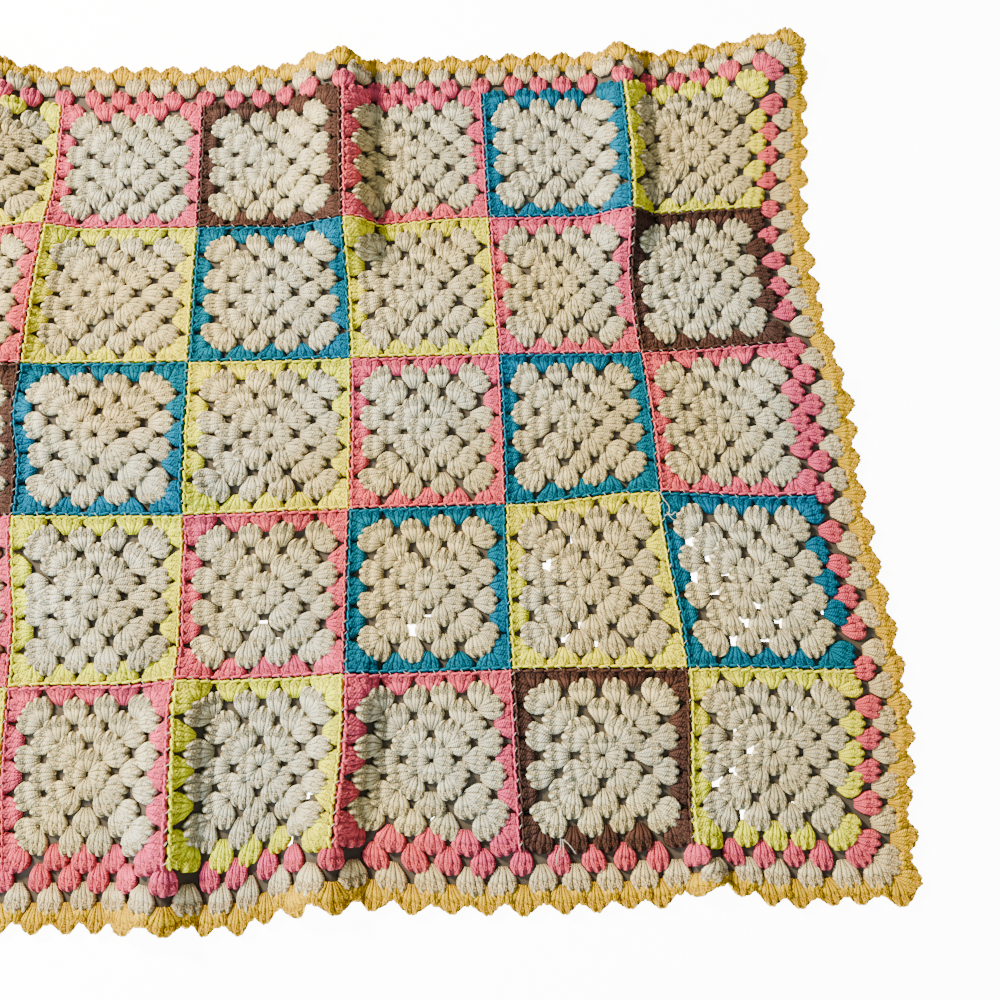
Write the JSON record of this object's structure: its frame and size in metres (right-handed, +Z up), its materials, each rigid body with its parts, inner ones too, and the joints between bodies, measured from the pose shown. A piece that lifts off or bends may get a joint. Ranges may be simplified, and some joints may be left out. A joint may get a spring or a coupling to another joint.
{
  "type": "crochet baby blanket",
  "caption": "Rectangular crochet baby blanket of granny squares, cream with coloured outer rounds, sewn together inside a pink, cream and gold border with a shell edge.",
  "frame": {"origin": "centre of the laid-out blanket's outline, on the surface that it lies on", "axes": "+X along the long side to the right, +Y towards the top edge, +Z up out of the cloth"},
  "size_m": [0.767, 0.6548, 0.0245],
  "materials": {
    "cream_yarn": "soft matte yarn",
    "pink_yarn": "soft matte yarn",
    "yellow_yarn": "soft matte yarn",
    "blue_yarn": "soft matte yarn",
    "brown_yarn": "soft matte yarn",
    "gold_yarn": "soft matte yarn"
  },
  "bodies": {
    "root": {"square_r1_c1": "yellow_yarn", "square_r1_c2": "pink_yarn", "square_r1_c3": "brown_yarn", "square_r1_c4": "pink_yarn", "square_r1_c5": "blue_yarn", "square_r1_c6": "yellow_yarn", "square_r2_c1": "pink_yarn", "square_r2_c2": "yellow_yarn", "square_r2_c3": "blue_yarn", "square_r2_c4": "yellow_yarn", "square_r2_c5": "pink_yarn", "square_r2_c6": "brown_yarn", "square_r3_c1": "brown_yarn", "square_r3_c2": "blue_yarn", "square_r3_c3": "yellow_yarn", "square_r3_c4": "pink_yarn", "square_r3_c5": "blue_yarn", "square_r3_c6": "pink_yarn", "square_r4_c1": "pink_yarn", "square_r4_c2": "yellow_yarn", "square_r4_c3": "pink_yarn", "square_r4_c4": "blue_yarn", "square_r4_c5": "yellow_yarn", "square_r4_c6": "blue_yarn", "square_r5_c1": "yellow_yarn", "square_r5_c2": "pink_yarn", "square_r5_c3": "yellow_yarn", "square_r5_c4": "pink_yarn", "square_r5_c5": "brown_yarn", "square_r5_c6": "yellow_yarn", "border_pink": "pink_yarn", "border_cream": "cream_yarn", "border_gold": "gold_yarn"}
  },
  "joints": []
}
